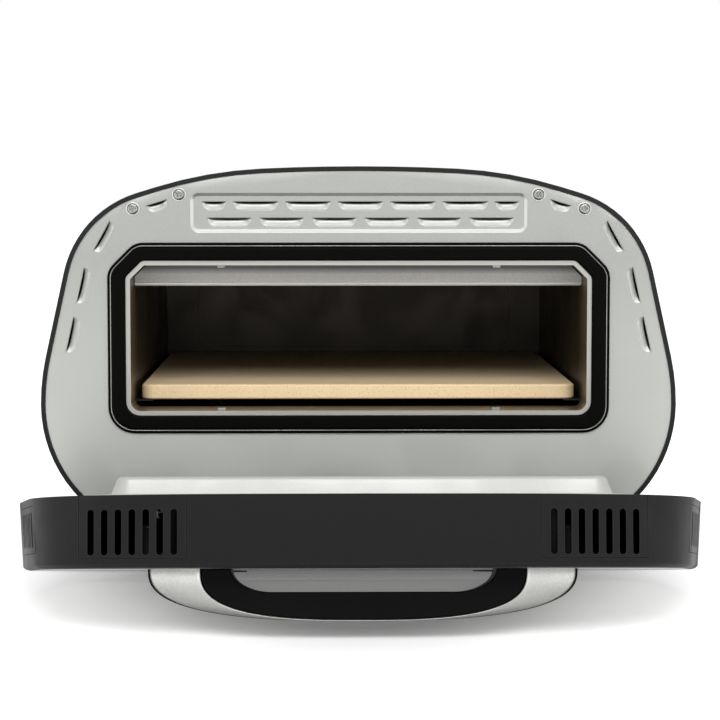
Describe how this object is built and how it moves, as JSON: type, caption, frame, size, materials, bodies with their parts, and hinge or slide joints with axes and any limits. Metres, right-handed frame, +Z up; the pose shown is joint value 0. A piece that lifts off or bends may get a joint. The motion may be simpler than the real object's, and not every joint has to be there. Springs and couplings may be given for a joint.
{
  "type": "electric pizza oven",
  "caption": "Domed countertop pizza oven with a drop-down front door, a baking stone in a shallow heated cavity, door handle and dials.",
  "frame": {"origin": "on the worktop, under the middle of the box round the oven with its door resting open", "axes": "+Z up from the feet, -Y towards the person at the oven, +X to their right; the door hangs open towards -Y"},
  "size_m": [0.486, 0.7096, 0.3089],
  "materials": {
    "shell_paint": "fine satin black coating",
    "pressed_steel": "satin silver, fine grain",
    "face_steel": "brushed along the width",
    "liner_metal": "dark brown heat-tinted finish",
    "deflector_steel": "satin",
    "stone": "fine-grained matte cordierite",
    "element_sheath": "matt grey sheath",
    "zinc_steel": "plain bright zinc",
    "screw_steel": "bright",
    "ceramic_white": "matte",
    "mineral_wool": "fibrous blanket",
    "seal_rubber": "matte",
    "black_moulding": "fine moulded grain",
    "handle_black": "smooth satin",
    "window_glass": "clear, lightly tinted"
  },
  "bodies": {
    "oven": {"outer_shell": "shell_paint", "front_panel": "pressed_steel", "front_panel_screws": "screw_steel", "door_seal": "seal_rubber", "seal_wire": "screw_steel", "cavity_liner": "liner_metal", "heat_deflector": "deflector_steel", "baking_stone": "stone", "stone_rail_left": "liner_metal", "stone_rail_right": "liner_metal", "upper_element": "element_sheath", "lower_element": "element_sheath", "upper_element_clips": "zinc_steel", "lower_element_clips": "zinc_steel", "element_bushings": "ceramic_white", "temperature_probe": "zinc_steel", "thermal_cutout": "ceramic_white", "insulation_blanket": "mineral_wool", "liner_cradles": "zinc_steel", "base_pan": "zinc_steel", "rear_cover": "shell_paint", "rear_cover_screws": "screw_steel", "rear_spacers": "black_moulding", "cord_gland": "black_moulding", "terminal_block": "ceramic_white", "foot_front_left": "black_moulding", "foot_front_right": "black_moulding", "foot_rear_left": "black_moulding", "foot_rear_right": "black_moulding", "foot_pads": "seal_rubber", "hinge_bracket_left": "zinc_steel", "hinge_bracket_right": "zinc_steel", "hinge_pin_left": "screw_steel", "hinge_pin_right": "screw_steel"},
    "door": {"door_frame": "black_moulding", "door_back_frame": "black_moulding", "door_inner_panel": "pressed_steel", "door_outer_panel": "face_steel", "inner_glass": "window_glass", "outer_glass": "window_glass", "window_shroud": "zinc_steel", "vent_grille_left": "black_moulding", "vent_grille_right": "black_moulding", "side_grille_left": "black_moulding", "side_grille_right": "black_moulding", "handle_grip": "handle_black", "handle_shell": "face_steel", "handle_bezel": "handle_black", "handle_brackets": "black_moulding", "handle_screws": "screw_steel", "temperature_well": "black_moulding", "timer_well": "black_moulding", "temperature_control": "black_moulding", "timer_control": "black_moulding", "hinge_arm_left": "zinc_steel", "hinge_arm_right": "zinc_steel"},
    "temperature_dial": {"temperature_knob": "handle_black", "temperature_shaft": "screw_steel"},
    "timer_dial": {"timer_knob": "handle_black", "timer_shaft": "screw_steel"}
  },
  "joints": [
    {"name": "door_hinge", "type": "hinge", "parent": "oven", "child": "door", "pos_m": [0, -0.09033, 0.05], "axis": [-1, 0, 0], "range_deg": [0, 79.7]},
    {"name": "temperature_dial_turn", "type": "hinge", "parent": "door", "child": "temperature_dial", "pos_m": [-0.115, -0.14178, 0.02418], "axis": [0, 0.1788, 0.9839], "range_deg": [0, 270]},
    {"name": "timer_dial_turn", "type": "hinge", "parent": "door", "child": "timer_dial", "pos_m": [0.115, -0.14178, 0.02418], "axis": [0, 0.1788, 0.9839], "range_deg": [0, 300]}
  ]
}
